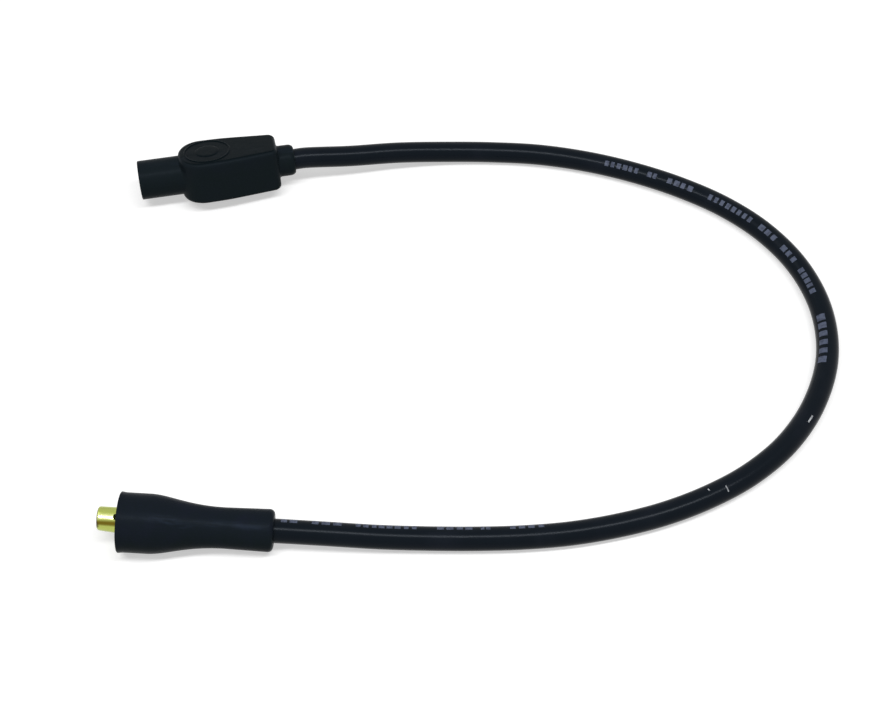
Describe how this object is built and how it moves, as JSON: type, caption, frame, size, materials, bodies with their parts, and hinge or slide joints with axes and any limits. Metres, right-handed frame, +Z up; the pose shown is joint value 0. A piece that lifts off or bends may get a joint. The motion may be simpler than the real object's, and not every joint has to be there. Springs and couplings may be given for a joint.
{
  "type": "spark plug wire",
  "caption": "Ignition lead: a thick black cable in one wide arc, with a boxed rubber plug boot at one end and a bell-shaped coil boot with a rolled brass terminal at the other.",
  "frame": {"origin": "on the surface that the lead lies on, under the middle of the box round the two boots and their terminals", "axes": "+X along the plug boot from its mouth towards its cable, +Y across from the coil boot to the plug boot, +Z up"},
  "size_m": [0.2671, 0.1969, 0.0219],
  "materials": {
    "boot_rubber": "satin moulded black rubber",
    "jacket_silicone": "smooth glossy blue-black silicone",
    "terminal_brass": "bright rolled sheet",
    "spring_steel": "plain drawn wire",
    "core_braid": "stranded"
  },
  "bodies": {
    "root": {"plug_boot": "boot_rubber", "plug_terminal": "terminal_brass", "terminal_spring": "spring_steel", "coil_boot": "boot_rubber", "coil_terminal": "terminal_brass", "cable_jacket": "jacket_silicone", "conductor_core": "core_braid"}
  },
  "joints": []
}
